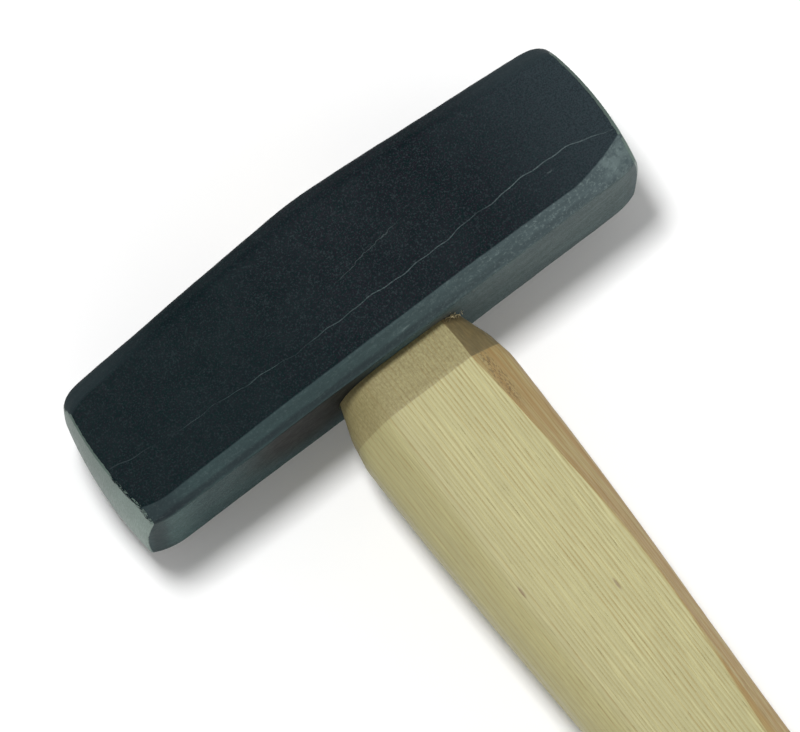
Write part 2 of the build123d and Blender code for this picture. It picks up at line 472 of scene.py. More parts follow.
def build_head():
    """The forged head: facets, parting line, uneven skin, ground bevels and crowns, and the eye."""
    stations = np.linspace(-HALF_LENGTH - 1, HALF_LENGTH + 1, 1221)
    sections = head_sections(stations)
    left_rows, left_depth, left_x = head_end(-1, stations, sections)
    right_rows, right_depth, right_x = head_end(1, stations, sections)
    share = np.linspace(0, 1, BODY_ROWS)[1:-1, None]
    body_x = blend(-left_x[None, :], right_x[None, :], share)
    outline = along_sections(stations, sections, body_x)
    body = np.concatenate([body_x[..., None], outline], axis=-1)

    ridge = flash_ridge(*np.moveaxis(body, -1, 0))
    normal = head_normals(body)
    skin = unevenness(body, HEAD_SKIN)
    to_end = np.minimum(body_x + left_x, right_x - body_x)
    ends = smooth_step(0.0, 6.0, to_end)
    # the part of the lower cheek that the hammer lies on may have hollows but no bumps
    seat = (np.abs(body[..., 0]) < CHEEK_LEVEL) & (body[..., 2] < -MIDDLE + 0.1)
    skin = np.where(seat, np.minimum(skin, 0.0), skin)
    lift = skin * ends + ridge * FLASH_HEIGHT * (body[..., 2] > 0)
    body = body + normal * lift[..., None]

    points = np.concatenate([left_rows[::-1], body, right_rows], axis=0)
    points[..., 2] = np.clip(points[..., 2] + MIDDLE, HEAD_LOW[2], None)
    body_depth = np.where(body_x < 0, left_depth[0], right_depth[0]) - to_end
    depth = np.concatenate([left_depth[::-1], body_depth, right_depth])
    bare = np.clip(0.5 + depth / BARE_SPREAD, 0.0, 1.0)
    blank = np.zeros(left_depth.shape)
    ridge = np.concatenate([blank, ridge, blank])
    head = grid_mesh("head_forging", points, {"bare": bare, "flash": ridge})
    return cut(head, eye_cutter())


# ---- measuring the CAD handle
def cad_reach():
    """A function that measures the CAD handle's outline at a distance below the head's middle."""
    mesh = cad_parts["handle"].data
    mesh.calc_loop_triangles()
    corners = np.array([v.co for v in mesh.vertices]) * METRE
    triangles = np.array([t.vertices for t in mesh.loop_triangles])
    start = corners[triangles].reshape(-1, 3)
    finish = corners[np.roll(triangles, -1, axis=1)].reshape(-1, 3)

    def reach(y):
        level = min(max(y, HANDLE_LOW[1] + 0.05), HANDLE_HIGH[1] - 0.05)
        before, after = start[:, 1] - level, finish[:, 1] - level
        crossing = before * after < 0
        share = (before / (before - after + (before == after)))[crossing, None]
        met = start[crossing] + (finish[crossing] - start[crossing]) * share
        low, high = met.min(axis=0), met.max(axis=0)
        return (low[0] + high[0]) / 2, (high[0] - low[0]) / 2, (high[2] - low[2]) / 2

    return reach


reach_at = cad_reach()


def oval(half_width, half_thick):
    """A flat-sided oval as (x, height), starting at the middle of its right side."""
    angle = np.linspace(0, 2 * math.pi, EYE_POINTS, endpoint=False)
    x = np.cos(angle) * half_thick
    x = x + np.sign(np.cos(angle)) * (half_width - half_thick)
    return np.stack([x, np.sin(angle) * half_thick], axis=-1)


def eye_cutter():
    """The eye's inside, flared a little where it breaks the underside and the roof."""
    rows = []
    levels = [(-UNDERSIDE - 2.0, 2.0 + EYE_LIP), (-UNDERSIDE, EYE_LIP), (-UNDERSIDE + EYE_LIP, 0.0)]
    levels += [(y, 0.0) for y in np.linspace(-UNDERSIDE + 2.0, ROOF_END_RIGHT, 12)]
    for y, flare in levels:
        _, half_width, half_thick = reach_at(max(y, -UNDERSIDE + 0.1))
        outline = oval(half_width + flare, half_thick + flare)
        level = np.full(len(outline), y)
        rows.append(np.stack([outline[:, 0], level, outline[:, 1] + MIDDLE], axis=-1))
    _, half_width, half_thick = reach_at(TENON_TOP - 0.2)
    for above, flare in ((-EYE_LIP, 0.0), (0.0, EYE_LIP), (2.0, 2.0 + EYE_LIP)):
        outline = oval(half_width + flare, half_thick + flare)
        level = roof_height(outline[:, 0]) + above
        rows.append(np.stack([outline[:, 0], level, outline[:, 1] + MIDDLE], axis=-1))
    return grid_mesh("eye_space", np.array(rows), {})


# ---- handle
def handle_row(y):
    """One outline across the handle, with eight rounded corners, crisp at the front right only."""
    centre, half_width, half_thick = reach_at(y)
    below = -y
    inside = below < UNDERSIDE
    if inside:
        half_width -= EYE_GAP
        half_thick -= EYE_GAP
    half_width -= SHOULDER_EASE * math.exp(-(((below - UNDERSIDE - NECK_LENGTH) / SHOULDER_SPREAD) ** 2))
    flat = float(hermite(FLAT_SHARE_AT, FLAT_SHARE, max(below, 0.0))) * half_width
    side = SIDE_SHARE * half_thick
    round_off = float(smooth_step(UNDERSIDE, UNDERSIDE + NECK_LENGTH, below))
    grip = float(smooth_step(GRIP_FROM, GRIP_TO, below))
    full = half_thick * 0.97
    front_right = full if inside else blend(*FRONT_RIGHT_RADIUS, grip)
    front_left = blend(full, blend(*FRONT_LEFT_RADIUS, grip), round_off)
    back = blend(full, blend(*BACK_RADIUS, grip), round_off)
    outer = blend(full, SIDE_RADIUS, round_off)
    corners = np.array([
        (flat, half_thick), (-flat, half_thick), (-half_width, side), (-half_width, -side),
        (-flat, -half_thick), (flat, -half_thick), (half_width, -side), (half_width, side),
    ])
    radii = np.array([front_right, front_left, outer, outer, back, back, outer, outer])
    lengths = np.linalg.norm(np.roll(corners, -1, axis=0) - corners, axis=1)
    radii = np.minimum(radii, np.minimum(lengths, np.roll(lengths, 1)) * CORNER_LIMIT)
    edges = [shares(34 if k in (0, 4) else 9) for k in range(8)]
    outline = rounded_polygon(corners, radii, edges, CORNER_POINTS)
    level = np.full(len(outline), y)
    return np.stack([outline[:, 0] + centre, level, outline[:, 1] + MIDDLE], axis=-1)


def handle_levels():
    """Heights of the rows: close together where the outline changes quickly."""
    shoulder = -UNDERSIDE - NECK_LENGTH
    tenon = np.linspace(TENON_TOP - TENON_BELOW, -UNDERSIDE + 0.01, 24)
    neck = np.linspace(-UNDERSIDE - 0.01, shoulder + 0.25, 16)
    body = np.linspace(shoulder - 0.3, -BUTT + BUTT_RADIUS, 190)
    return np.concatenate([tenon, neck, body])


def butt_rows(last):
    """The rounded end of the grip, closing to a gently domed butt."""
    centre = last.mean(axis=0)
    rows = []
    for angle in np.linspace(0, math.pi / 2, 9)[1:]:
        rows.append((BUTT_RADIUS * (1 - math.cos(angle)), BUTT_RADIUS * math.sin(angle)))
    spread = np.linalg.norm((last - centre)[:, [0, 2]], axis=1).min()
    for share in np.linspace(0.25, 0.985, 10):
        rows.append((BUTT_RADIUS + share * (spread - BUTT_RADIUS), BUTT_RADIUS + BUTT_DOME * share))
    made = []
    for inset, drop in rows:
        scale = 1 - inset / spread
        ring = centre + (last - centre) * [scale, 1, scale]
        ring[:, 1] = last[:, 1] - drop
        made.append(ring)
    return made


def build_handle():
    """The ash handle, from its sawn-off tenon to its butt."""
    rows = [handle_row(y) for y in handle_levels()]
    rows += butt_rows(rows[-1])
    points = np.array(rows)
    normal = head_normals(points - [0, 0, MIDDLE])
    below = -points[..., 1]
    free = smooth_step(UNDERSIDE, UNDERSIDE + 3.0, below) * smooth_step(0, 4.0, BUTT - below)
    skin = unevenness(points * [1.0, 0.16, 1.0], HANDLE_SKIN)  # drawn out along the grain
    points = points + normal * (skin * free)[..., None]
    handle = grid_mesh("ash_handle", points, {})
    for node in ("wood_wedge", "steel_wedge_1", "steel_wedge_2"):
        handle = cut(handle, wedge_space(node))
    return handle


def wedge_space(node):
    """A little more room than a wedge takes, reaching out of the tenon's top."""
    corners = np.array([v.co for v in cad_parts[node].data.vertices])
    low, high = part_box(node)
    middle = (np.array(low) + np.array(high)) / 2
    half = (np.array(high) - np.array(low)) / 2
    corners = middle + (corners - middle) * (1 + WEDGE_CLEARANCE * MM / half)
    corners[corners[:, 1] > (TENON_TOP - 0.5) * MM, 1] += 1.0 * MM
    work = bmesh.new()
    for corner in corners:
        work.verts.new(corner)
    bmesh.ops.remove_doubles(work, verts=work.verts, dist=1e-6)
    bmesh.ops.convex_hull(work, input=work.verts)
    spare = [v for v in work.verts if not v.link_faces]
    bmesh.ops.delete(work, geom=spare, context="VERTS")
    mesh = bpy.data.meshes.new(node + "_space")
    work.to_mesh(mesh)
    work.free()
    return finish_mesh(node + "_space", mesh)


# ---- material tools
class Shader:
    """Builds a material's nodes, with a short call for each kind."""

    def __init__(self, name):
        self.material = bpy.data.materials.new(name)
        self.material.use_nodes = True
        self.tree = self.material.node_tree
        self.tree.nodes.clear()
        self.surface = self.node("BsdfPrincipled")
        output = self.node("OutputMaterial")
        self.tree.links.new(self.surface.outputs[0], output.inputs[0])
        place = self.node("TexCoord")
        self.place = self.vector("SCALE", place.outputs["Object"], scale=METRE)

    def node(self, kind):
        return self.tree.nodes.new("ShaderNode" + kind)

    def put(self, socket, value):
        if isinstance(value, bpy.types.NodeSocket):
            self.tree.links.new(value, socket)
        else:
            socket.default_value = value

    def set(self, name, value):
        self.put(self.surface.inputs[name], value)

    def math(self, operation, a, b=0.0, c=0.0):
        node = self.node("Math")
        node.operation = operation
        for socket, value in zip(node.inputs, (a, b, c)):
            self.put(socket, value)
        return node.outputs[0]

    def times(self, first, *others):
        """The product of any number of values."""
        for other in others:
            first = self.math("MULTIPLY", first, other)
        return first

    def vector(self, operation, a, b=(0, 0, 0), scale=1.0):
        node = self.node("VectorMath")
        node.operation = operation
        self.put(node.inputs[0], a)
        if operation == "SCALE":
            self.put(node.inputs["Scale"], scale)
            return node.outputs[0]
        if operation == "LENGTH":
            return node.outputs["Value"]
        self.put(node.inputs[1], b)
        return node.outputs[0]

    def axes(self, vector=None):
        """The x, y and z of a vector, or of the place in millimetres."""
        node = self.node("SeparateXYZ")
        self.put(node.inputs[0], self.place if vector is None else vector)
        return node.outputs

    def facing(self):
        """The x, y and z of the way that the surface faces, without smoothing or bumps."""
        node = self.node("NewGeometry")
        return self.axes(node.outputs["True Normal"])

    def join(self, x, y, z):
        node = self.node("CombineXYZ")
        for socket, value in zip(node.inputs, (x, y, z)):
            self.put(socket, value)
        return node.outputs[0]

    def noise(self, size, detail=2.0, roughness=0.5, stretch=(1, 1, 1), vector=None, shift=0.0):
        """Noise from 0 to 1 whose features are about size millimetres, times stretch along each axis."""
        node = self.node("TexNoise")
        factors = tuple(1.0 / (size * s) for s in stretch)
        scaled = self.vector("MULTIPLY", self.place if vector is None else vector, factors)
        if shift:
            scaled = self.vector("ADD", scaled, (shift, shift * 0.7, shift * 1.3))
        self.put(node.inputs["Vector"], scaled)
        node.inputs["Scale"].default_value = 1.0
        node.inputs["Detail"].default_value = detail
        node.inputs["Roughness"].default_value = roughness
        return node.outputs["Fac"]

    def spots(self, size):
        """Distance from the nearest of many scattered points, in units of size millimetres."""
        node = self.node("TexVoronoi")
        self.put(node.inputs["Vector"], self.vector("SCALE", self.place, scale=1.0 / size))
        node.inputs["Scale"].default_value = 1.0
        return node.outputs["Distance"]

    def fit(self, value, low, high, to_low=0.0, to_high=1.0, smooth=True):
        """Carries low to to_low and high to to_high, and holds outside them."""
        node = self.node("MapRange")
        node.interpolation_type = "SMOOTHSTEP" if smooth else "LINEAR"
        for socket, number in zip(node.inputs, (value, low, high, to_low, to_high)):
            self.put(socket, number)
        return node.outputs[0]

    def mix(self, share, a, b):
        """Colour a, going to colour b as share goes from 0 to 1."""
        node = self.node("Mix")
        node.data_type = "RGBA"
        self.put(node.inputs["Factor"], share)
        for socket, value in ((node.inputs[6], a), (node.inputs[7], b)):
            self.put(socket, value if isinstance(value, bpy.types.NodeSocket) else (*value, 1.0))
        return node.outputs[2]

    def attribute(self, name):
        node = self.node("Attribute")
        node.attribute_name = name
        return node.outputs["Fac"]

    def bump(self, height, depth, over=None):
        """Raises the surface by height times depth millimetres, over another bump if one is given."""
        node = self.node("Bump")
        node.inputs["Strength"].default_value = 1.0
        node.inputs["Distance"].default_value = depth * MM
        self.put(node.inputs["Height"], height)
        if over is not None:
            self.put(node.inputs["Normal"], over)
        return node.outputs[0]


# ---- materials
CHEEK_TEAL = (0.0008, 0.0088, 0.0095)
CHEEK_VIOLET = (0.0085, 0.0072, 0.0118)
CHEEK_LIGHT = (0.0240, 0.0350, 0.0390)
CHEEK_END_SHEEN = (0.0245, 0.0360, 0.0420)
FACET_LEFT = (0.037, 0.061, 0.062)
FACET_RIGHT_LIT = (0.082, 0.110, 0.115)
UNDER_LEFT = (0.030, 0.059, 0.060)
UNDER_RIGHT_LIT = (0.083, 0.113, 0.112)
UNDER_END = (0.065, 0.112, 0.108)
SPECKLE = (0.17, 0.22, 0.215)
WOOD_REFLECTION = (0.060, 0.042, 0.022)
UNDER_SHADE = (0.013, 0.014, 0.013)
SCRATCHED = (0.115, 0.150, 0.150)
METAL_UPPER = (0.102, 0.145, 0.124)
METAL_LOWER_LIT = (0.165, 0.230, 0.198)
METAL_DARK = (0.090, 0.118, 0.107)
SCRATCHES = (((-4.0, 0.3), (16.0, 3.2), 0.10), ((42.0, -6.9), (43.5, -6.7), 0.3))  # from, to, half width

WOOD_PALE = (0.415, 0.388, 0.190)
WOOD_LINE = (0.330, 0.255, 0.098)
WOOD_LEFT_SHADE = (0.285, 0.252, 0.118)
WOOD_BROWN = (0.285, 0.182, 0.064)
FIBRE_BROWN = (0.19, 0.115, 0.035)
RIPPLE_BROWN = (0.10, 0.063, 0.025)
NECK_TONE = (0.190, 0.148, 0.064)
NECK_STAIN_AND_SHADE = (0.110, 0.086, 0.037)
SMEAR_AND_SHADE = (0.170, 0.110, 0.045)
KNOT = (0.16, 0.09, 0.05)
FLOOR_COLOUR = (0.93, 0.93, 0.93)
KNOTS = ((-10.0, -66.9), (5.3, -76.5))  # where the front's two small knots are
PITH = (165.0, MIDDLE + 30.0)  # what the handle's growth rings go round, across the handle


def shade(colour, factor):
    return tuple(min(1.0, c * factor) for c in colour)


def near(s, centre, radius, squash=(1, 1, 1)):
    """1 at a place, falling to 0 a radius away. Its third number is its height above the middle."""
    x, y, height = centre
    offset = s.vector("SUBTRACT", s.place, (x, y, MIDDLE + height))
    offset = s.vector("MULTIPLY", offset, tuple(1.0 / (radius * share) for share in squash))
    return s.fit(s.vector("LENGTH", offset), 0.35, 1.0, 1.0, 0.0)


def scratch(s, start, finish, width):
    """1 along a thin line between two places on the upper cheek, fading towards both of its ends."""
    x, y, z = s.axes()
    length = math.dist(start, finish)
    along_x = (finish[0] - start[0]) / length
    along_y = (finish[1] - start[1]) / length
    wander = s.noise(1.8, shift=41.0)
    from_x = s.math("SUBTRACT", x, start[0])
    from_y = s.math("SUBTRACT", y, start[1])
    run = s.math("ADD", s.times(from_x, along_x), s.times(from_y, along_y))
    off = s.math("SUBTRACT", s.times(from_y, along_x), s.times(from_x, along_y))
    off = s.math("ADD", off, s.fit(wander, 0.2, 0.8, -0.5, 0.5, smooth=False))
    line = s.fit(s.math("ABSOLUTE", off), width * 0.3, width, 1.0, 0.0)
    begins = s.fit(run, 0.0, 0.25 * length)
    ends = s.fit(run, 0.7 * length, length, 1.0, 0.0)
    upper = s.fit(z, MIDDLE + 15.0, MIDDLE + 16.0)
    return s.times(line, begins, ends, upper)


def cheek_skin(s, x):
    """The dark cheeks and roof: fine teal and violet grain with paler flecks, greyer at the right end with
    painted sheen.
    """
    grain = s.fit(s.noise(0.36, roughness=0.7), 0.38, 0.62)
    flecks = s.noise(0.34, roughness=0.7, shift=33.0)
    cloud = s.noise(9.0, detail=4.0, roughness=0.6)
    greyed = s.fit(s.noise(0.3, roughness=0.7, shift=61.0), 0.4, 0.6, 0.45, 1.0)
    skin = s.mix(grain, CHEEK_TEAL, CHEEK_VIOLET)
    skin = s.mix(s.fit(cloud, 0.35, 0.75, 0.0, 0.14), skin, CHEEK_LIGHT)
    skin = s.mix(s.fit(flecks, 0.5, 0.68, 0.0, 0.7), skin, CHEEK_LIGHT)
    skin = s.mix(s.fit(x, 5.0, -30.0, 0.0, 0.35), skin, CHEEK_TEAL)
    # painted sheen: greyer towards the right end, where the falling cheek catches light from that side
    return s.mix(s.times(s.fit(x, 24.0, 62.0), greyed), skin, CHEEK_END_SHEEN)


def facet_skin(s, x, mottle):
    """The lower facets, drawn out along the head, with rubbed specks that thicken to the right; painted
    reflection makes them paler than the cheeks, and paler still to the right.
    """
    drawn = s.noise(1.3, detail=4.0, roughness=0.7, stretch=(5, 1, 1), shift=18.0)
    rubbed = s.fit(s.noise(0.7, detail=4.0, roughness=0.75, shift=9.0), 0.5, 0.68)
    patch = near(s, (54.5, -12.6, 17.0), 5.5, (1.0, 0.8, 1.0))
    # painted reflection: paler to the right, where the facets catch light from that side
    pale = s.mix(s.fit(x, -25.0, 58.0), FACET_LEFT, FACET_RIGHT_LIT)
    pale = s.mix(s.fit(mottle, 0.3, 0.7, 0.2, 0.0), pale, CHEEK_LIGHT)
    pale = s.mix(s.fit(drawn, 0.4, 0.7, 0.35, 0.0), pale, CHEEK_LIGHT)
    pale = s.mix(s.fit(drawn, 0.62, 0.72, 0.0, 0.3), pale, SPECKLE)
    pale = s.mix(s.times(rubbed, s.fit(x, -10.0, 50.0, 0.12, 0.5)), pale, SPECKLE)
    return s.mix(s.times(patch, s.fit(mottle, 0.35, 0.6, 0.05, 0.42)), pale, SPECKLE)


def underside_skin(s, x):
    """The gritty underside, streaked along the head and paler towards its two ends; its paleness against the
    cheeks, and towards the right, is painted reflection of the floor.
    """
    streaks = s.noise(2.6, detail=3.0, roughness=0.6, stretch=(6, 1, 1), shift=14.0)
    grit = s.noise(0.36, roughness=0.7, shift=81.0)
    # painted reflection: paler towards the right, where the underside catches light from that side
    plain = s.mix(s.fit(x, -10.0, 40.0), UNDER_LEFT, UNDER_RIGHT_LIT)
    plain = s.mix(s.fit(x, -45.0, -54.0, 0.0, 0.8), plain, UNDER_END)
    plain = s.mix(s.fit(streaks, 0.35, 0.7, 0.35, 0.0), plain, CHEEK_LIGHT)
    plain = s.mix(s.fit(grit, 0.5, 0.36, 0.0, 0.35), plain, CHEEK_VIOLET)
    return s.mix(s.fit(grit, 0.52, 0.66, 0.0, 0.25), plain, SPECKLE)


def pale_lines(s, x):
    """How far the parting line and the scratches show, from 0 to 1."""
    broken = s.fit(s.noise(0.6, detail=4.0, roughness=0.75, shift=2.0), 0.38, 0.6, 0.2, 0.85)
    line = s.fit(s.attribute("flash"), 0.18, 0.7)
    line = s.times(line, broken, s.fit(x, -45.0, 25.0, 0.5, 1.0))
    for start, finish, width in SCRATCHES:
        line = s.math("MAXIMUM", line, s.times(scratch(s, start, finish, width), 0.45))
    return line


def painted_skin(s, mottle):
    """The blue-black skin: dark cheeks and roof, paler facets and underside (partly painted reflection), and
    the marks on them.
    """
    x, y, _ = s.axes()
    _, facing_y, _ = s.facing()
    # painted reflection: surfaces facing down towards the floor take the paler facet and underside colours
    lower = s.fit(facing_y, -0.25, -0.5)
    under = s.fit(facing_y, -0.9, -0.985)
    skin = s.mix(lower, cheek_skin(s, x), facet_skin(s, x, mottle))
    skin = s.mix(under, skin, underside_skin(s, x))

    # painted shade: a dark band along the edge where the facets meet the underside; and darker facets at the
    # left end
    band = s.fit(s.math("ABSOLUTE", s.math("ADD", y, UNDERSIDE - 0.8)), 0.2, 0.8, 1.0, 0.0)
    band = s.times(band, lower, s.fit(x, -20.0, 35.0, 0.42, 0.15))
    skin = s.mix(band, skin, CHEEK_VIOLET)
    left_end = s.times(lower, s.fit(x, -46.0, -54.0), s.fit(facing_y, -0.9, -0.8))
    skin = s.mix(s.times(left_end, 0.35), skin, CHEEK_VIOLET)

    # painted shade on the underside left of the neck, where the handle shades it, and a painted reflection
    # of the brown wood beside the neck's right side
    under_shade = near(s, (-20.0, -UNDERSIDE, 8.0), 22.0, (1.0, 1.0, 1.2))
    skin = s.mix(s.times(under_shade, under), skin, UNDER_SHADE)
    wood_reflection = near(s, (9.0, -UNDERSIDE, 9.0), 6.0, (1.1, 1.0, 1.0))
    skin = s.mix(s.times(wood_reflection, 0.45), skin, WOOD_REFLECTION)

    # the roof's facets are faintly paler near both ends
    edge = s.times(s.fit(facing_y, 0.1, 0.4), s.fit(facing_y, 0.98, 0.8))
    roof_ends_paler = s.times(edge, s.fit(s.math("ABSOLUTE", x), 30.0, 56.0, 0.0, 0.6))
    skin = s.mix(roof_ends_paler, skin, CHEEK_LIGHT)
    return s.mix(s.times(pale_lines(s, x), 0.6), skin, SCRATCHED)


def ground_share(s):
    """1 on ground metal and 0 on skin: a ragged edge, flaked at the left face and notched at the right."""
    bare = s.attribute("bare")
    ragged = s.noise(1.1, detail=5.0, roughness=0.75, shift=7.0)
    edge = s.math("ADD", bare, s.fit(ragged, 0.3, 0.7, -0.05, 0.05, smooth=False))
    flaked = near(s, (-56.8, -8.5, 17.0), 9.5, (0.8, 1.0, 0.8))
    fleck = s.fit(s.noise(0.5, detail=4.0, roughness=0.8, stretch=(1, 2, 1), shift=11.0), 0.46, 0.53)
    fleck = s.times(fleck, flaked, s.fit(bare, 0.9, 0.78))
    notch = near(s, (57.2, -9.3, 17.3), 1.0, (1.4, 0.7, 1.4))
    kept = s.times(s.fit(fleck, 0.35, 0.6, 1.0, 0.0), s.fit(notch, 0.2, 0.7, 1.0, 0.1))
    return s.times(s.fit(edge, 0.475, 0.5), kept)


def ground_metal(s, lay):
    """The ground crowns' colour, palest low down as painted light, and darker to the right and along the
    grinding marks.
    """
    x, y, _ = s.axes()
    cloud = s.noise(5.0, detail=3.0, roughness=0.6, shift=5.0)
    # painted light: the face is paler low down, where it catches the light
    metal = s.mix(s.fit(y, -14.0, 4.0), METAL_LOWER_LIT, METAL_UPPER)
    metal = s.mix(s.fit(x, 50.0, 57.0, 0.0, 0.6), metal, METAL_DARK)
    metal = s.mix(s.fit(cloud, 0.3, 0.7, 0.3, 0.0), metal, METAL_DARK)
    return s.mix(s.fit(lay, 0.35, 0.7, 0.0, 0.35), metal, METAL_DARK)


def forged_steel():
    """Blue-black forging skin, with the crowns and their bevels ground to bare metal."""
    s = Shader("forged_steel")
    mottle = s.noise(1.7, detail=3.0, roughness=0.6, shift=4.0)
    lay = s.noise(0.16, detail=4.0, roughness=0.7, stretch=(1, 1, 30), shift=3.0)
    ground = ground_share(s)
    unground = s.math("SUBTRACT", 1.0, ground)
    s.set("Base Color", s.mix(ground, painted_skin(s, mottle), ground_metal(s, lay)))
    s.set("Metallic", s.times(ground, 0.45))
    rough_skin = s.fit(mottle, 0.3, 0.7, 0.52, 0.60)
    rough_metal = s.fit(lay, 0.3, 0.7, 0.36, 0.5)
    s.set("Roughness", s.fit(ground, 0.0, 1.0, rough_skin, rough_metal, smooth=False))
    s.surface.inputs["Specular IOR Level"].default_value = 0.035
    pits = s.times(s.noise(0.7, detail=4.0, roughness=0.65, shift=6.0), unground)
    normal = s.bump(pits, 0.045)
    normal = s.bump(s.times(lay, ground), 0.012, over=normal)
    s.set("Normal", s.bump(unground, 0.04, over=normal))
    return s.material


def ash(name, pale, line, pith, ring):
    """Straight-grained ash: growth rings round a far pith, open pores in each ring, fine rays.

    Returns the shader and its colour, then the early wood, the pores and the fibre, each from 0 to 1.
    """
    s = Shader(name)
    x, _, z = s.axes()
    drift = s.noise(40.0, stretch=(1, 4, 1))
    wave = s.noise(7.0, stretch=(1, 12, 1), shift=3.0)
    sideways = s.math("MULTIPLY_ADD", s.math("SUBTRACT", drift, 0.5), 3.0, x)
    sideways = s.math("MULTIPLY_ADD", s.math("SUBTRACT", wave, 0.5), 0.5, sideways)
    flat = s.vector("SUBTRACT", s.join(sideways, 0.0, z), (pith[0], 0.0, pith[1]))
    radius = s.vector("LENGTH", flat)
    uneven = s.noise(1.0, detail=1.0, vector=s.join(s.times(radius, 0.35), 0.0, 0.0), shift=1.0)
    phase = s.math("FRACT", s.math("ADD", s.math("DIVIDE", radius, ring), s.times(uneven, 1.6)))
    early = s.times(s.fit(phase, 0.0, 0.1), s.fit(phase, 0.15, 0.55, 1.0, 0.0))
    strength = s.noise(1.0, detail=0.0, vector=s.join(s.times(radius, 0.9), 0.0, 0.0), shift=8.0)
    dashed = s.fit(s.noise(0.5, stretch=(1, 9, 1), shift=44.0), 0.35, 0.62, 0.4, 1.0)
    tint = s.times(early, s.fit(strength, 0.3, 0.7, 0.35, 1.0), dashed)

    fibre = s.noise(0.16, detail=3.0, roughness=0.6, stretch=(1, 40, 1))
    broad = s.noise(6.0, stretch=(1, 10, 1), shift=12.0)
    pores = s.noise(0.2, stretch=(1, 22, 1), shift=15.0)
    pores = s.times(s.fit(pores, 0.62, 0.7), s.fit(early, 0.2, 0.8))
    shine = s.noise(0.32, roughness=0.6, stretch=(1, 45, 1), shift=71.0)
    rays = s.fit(s.noise(0.5, detail=1.0, stretch=(1, 3, 0.25), shift=21.0), 0.62, 0.72)
    wood = s.mix(s.fit(broad, 0.3, 0.7), pale, shade(pale, 0.93))
    wood = s.mix(s.times(tint, 0.8), wood, line)
    wood = s.mix(s.fit(fibre, 0.3, 0.75, 0.0, 0.22), wood, shade(line, 0.62))
    wood = s.mix(s.times(pores, 0.1), wood, shade(line, 0.5))
    wood = s.mix(s.fit(shine, 0.5, 0.68, 0.0, 0.55), wood, shade(pale, 1.22))
    wood = s.mix(s.times(rays, 0.10), wood, shade(pale, 1.12))
    return s, wood, early, pores, fibre


def brown_side(s, wood, side):
    """The right side was cut through browner wood, and its fibres lifted in waves below the shoulder."""
    streak = s.noise(0.8, detail=3.0, roughness=0.6, stretch=(1, 30, 1), shift=31.0)
    wood = s.mix(s.times(side, s.fit(streak, 0.3, 0.6, 0.45, 1.0)), wood, WOOD_BROWN)
    fibrous = s.noise(0.5, detail=3.0, roughness=0.65, stretch=(1, 20, 1), shift=52.0)
    wood = s.mix(s.times(side, s.fit(fibrous, 0.52, 0.66), 0.4), wood, FIBRE_BROWN)
    ripple = s.noise(0.36, detail=4.0, roughness=0.7, stretch=(1, 2.6, 1), shift=36.0)
    rippled = near(s, (12.1, -31.0, 9.5), 8.0, (0.24, 1.2, 1.0))
    return s.mix(s.times(s.fit(ripple, 0.5, 0.57), rippled, side, 0.75), wood, RIPPLE_BROWN)


def neck_stain_and_shade(s, wood, side, y):
    """The turned neck is darker, partly the stain of its cross-cut wood and partly painted shade, most of
    all on its right side and at the eye.
    """
    weave = s.noise(0.5, detail=3.0, roughness=0.7, stretch=(1, 1.4, 1), shift=27.0)
    stain_and_shade = s.noise(0.6, detail=3.0, roughness=0.65, stretch=(1, 5, 1), shift=91.0)
    neck = s.fit(y, -25.3, -25.0)
    # stain and painted shade: the whole neck darker
    wood = s.mix(s.times(neck, s.fit(weave, 0.3, 0.7, 0.34, 0.72)), wood, NECK_TONE)
    # stain and painted shade: darker still on the neck's right side
    wood = s.mix(s.times(neck, side, s.fit(stain_and_shade, 0.35, 0.65, 0.6, 0.92)), wood, NECK_STAIN_AND_SHADE)
    # grime and painted shade where the neck goes into the head
    return s.mix(s.times(s.fit(y, -18.2, -15.6), 0.12), wood, SMEAR_AND_SHADE)


def handle_wood():
    """The handle's ash: pale and straight-grained in front, browner to the right, with a darkened neck."""
    s, wood, early, pores, fibre = ash("ash_wood", WOOD_PALE, WOOD_LINE, PITH, 0.85)
    x, y, _ = s.axes()
    facing_x, _, _ = s.facing()
    side = s.times(s.fit(x, 8.0, 10.0), s.fit(facing_x, 0.12, 0.4), s.fit(y, -210.0, -100.0, 0.3, 1.0))
    # painted shade: darker towards the left, where the rounded side turns from the light
    wood = s.mix(s.fit(x, -17.0, 2.0, 0.42, 0.0), wood, WOOD_LEFT_SHADE)
    wood = brown_side(s, wood, side)
    wood = neck_stain_and_shade(s, wood, side, y)
    for knot_x, knot_y in KNOTS:
        knot = near(s, (knot_x, knot_y, 12.0), 0.8, (0.5, 2.3, 4.0))
        wood = s.mix(s.times(knot, 0.6), wood, KNOT)
    s.set("Base Color", wood)
    s.set("Roughness", s.fit(early, 0.0, 1.0, 0.55, 0.68))
    s.surface.inputs["IOR"].default_value = 1.45
    normal = s.bump(s.math("SUBTRACT", 1.0, early), 0.03)
    normal = s.bump(s.math("SUBTRACT", 1.0, pores), 0.03, over=normal)
    s.set("Normal", s.bump(fibre, 0.02, over=normal))
    return s.material


def plain_wood(name, pale, line, pith, ring, roughness, relief):
    """Wood with no marks of its own, for the torn fibres and the wedge."""
    s, wood, *_, fibre = ash(name, pale, line, pith, ring)
    s.set("Base Color", wood)
    s.set("Roughness", s.fit(fibre, 0.0, 1.0, *roughness))
    s.set("Normal", s.bump(fibre, relief))
    return s.material


def torn_wood():
    """Freshly torn fibres, paler than the darkened wood round them."""
    return plain_wood("torn_ash", (0.62, 0.53, 0.31), (0.40, 0.28, 0.12), PITH, 0.6, (0.6, 0.8), 0.02)


def wedge_wood():
    """The hardwood wedge, browner than the ash."""
    pith = (3.0, MIDDLE - 60.0)
    return plain_wood("wedge_wood", (0.32, 0.215, 0.115), (0.20, 0.125, 0.06), pith, 0.9, (0.55, 0.75), 0.05)


